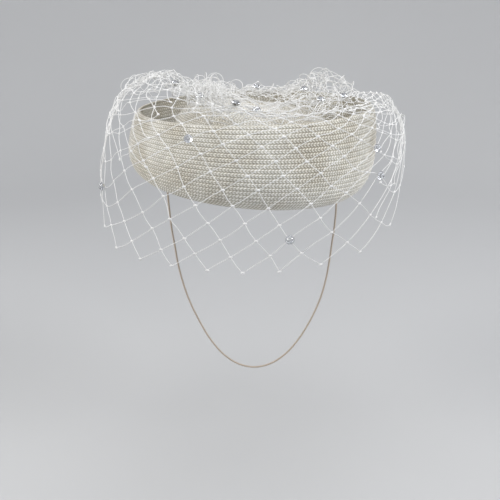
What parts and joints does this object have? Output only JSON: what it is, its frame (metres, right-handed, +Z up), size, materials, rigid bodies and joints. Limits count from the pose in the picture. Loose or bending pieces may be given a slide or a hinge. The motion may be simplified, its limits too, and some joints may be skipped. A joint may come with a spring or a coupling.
{
  "type": "fascinator hat with birdcage veil",
  "caption": "Straw hat with a bowl-shaped turned-up brim, a cage veil of diamond net bunched on the crown, clear stones and a thin elastic chin loop.",
  "frame": {"origin": "middle of the head opening, where the hat sits on the head", "axes": "+Z up, -Y the front where the veil hangs over the face, +X the side on the right of a viewer in front"},
  "size_m": [0.2789, 0.2848, 0.301],
  "materials": {
    "straw": "woven natural straw, off-white, slight sheen",
    "net": "white nylon veiling, soft sheen",
    "elastic": "round braided elastic, matt tan",
    "crystal": "clear faceted, polished"
  },
  "bodies": {
    "root": {"crown": "straw", "brim": "straw", "veil": "net", "veil_gather": "net", "chin_elastic": "elastic", "crystal_01": "crystal", "crystal_02": "crystal", "crystal_03": "crystal", "crystal_04": "crystal", "crystal_05": "crystal", "crystal_06": "crystal", "crystal_07": "crystal", "crystal_08": "crystal", "crystal_09": "crystal", "crystal_10": "crystal", "crystal_11": "crystal", "crystal_12": "crystal", "crystal_13": "crystal"}
  },
  "joints": []
}
